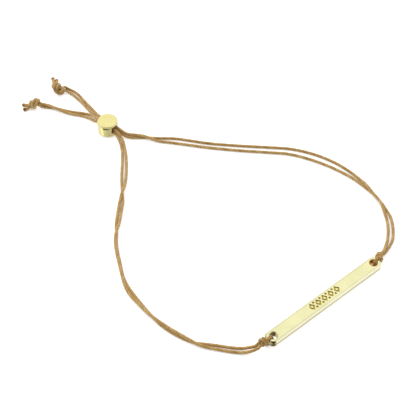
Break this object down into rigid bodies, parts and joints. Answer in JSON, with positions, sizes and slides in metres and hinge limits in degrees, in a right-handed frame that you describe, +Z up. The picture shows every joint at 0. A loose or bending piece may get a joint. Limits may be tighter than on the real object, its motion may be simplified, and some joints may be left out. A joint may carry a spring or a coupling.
{
  "type": "cord bracelet",
  "caption": "Bracelet with a flat engraved metal bar between doubled waxed cords, closed by a round slide bead with knotted cord tails.",
  "frame": {"origin": "on the table, midway between the bar's outer edge and the slide bead's outer edge, centred on the bar and bead together", "axes": "+X along the bar, +Y from the bar across the loop to the slide bead, +Z up from the table that the bracelet lies on"},
  "size_m": [0.0721, 0.1109, 0.004],
  "materials": {
    "bar_gold": "polished pale gold plate",
    "bead_gold": "polished pale gold plate",
    "cord": "waxed twisted thread, semi-matt",
    "cord_knot": "waxed twisted thread, semi-matt",
    "cord_tip": "waxed thread with a melted glossy tip"
  },
  "bodies": {
    "root": {"bar": "bar_gold", "slide_bead": "bead_gold", "a_hole_loop": "cord", "a_bar_knot": "cord_knot", "a_strand_1": "cord", "a_strand_2": "cord", "a_tail_knot": "cord_knot", "a_end_1": "cord_tip", "a_end_2": "cord_tip", "b_hole_loop": "cord", "b_bar_knot": "cord_knot", "b_strand_1": "cord", "b_strand_2": "cord", "b_tail_knot": "cord_knot", "b_end_1": "cord_tip", "b_end_2": "cord_tip"}
  },
  "joints": []
}
